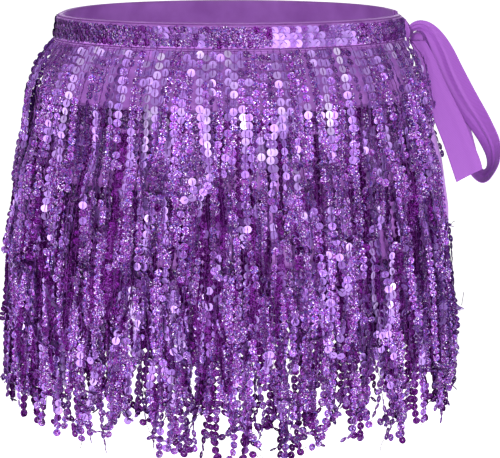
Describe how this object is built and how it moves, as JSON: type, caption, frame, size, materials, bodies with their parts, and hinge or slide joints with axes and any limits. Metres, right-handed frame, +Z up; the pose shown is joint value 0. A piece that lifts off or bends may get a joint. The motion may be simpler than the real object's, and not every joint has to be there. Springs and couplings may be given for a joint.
{
  "type": "belly dance hip scarf, in its worn form",
  "caption": "Wrap-around hip scarf held in its worn form: plain waistband, hollow hip panel, tiers of hanging sequin fringe and a ribbon tie at one side.",
  "frame": {"origin": "middle of the waist opening, halfway up the waistband", "axes": "+Z up, towards the wearer's head; -Y to the wearer's front; +X to the tied side, the wearer's left"},
  "size_m": [0.39, 0.2501, 0.3184],
  "materials": {
    "stretch_knit": "smooth knit, slight sheen",
    "sequins": "metallised film, glittering",
    "chiffon_ribbon": "matt, slightly sheer"
  },
  "bodies": {
    "root": {"hip_panel": "stretch_knit", "waistband": "stretch_knit", "fringe_1": "sequins", "fringe_2": "sequins", "fringe_3": "sequins", "fringe_4": "sequins", "tie_knot": "chiffon_ribbon", "tie_loop": "chiffon_ribbon", "tie_tail": "chiffon_ribbon", "tie_front_end": "chiffon_ribbon", "tie_back_end": "chiffon_ribbon"}
  },
  "joints": []
}
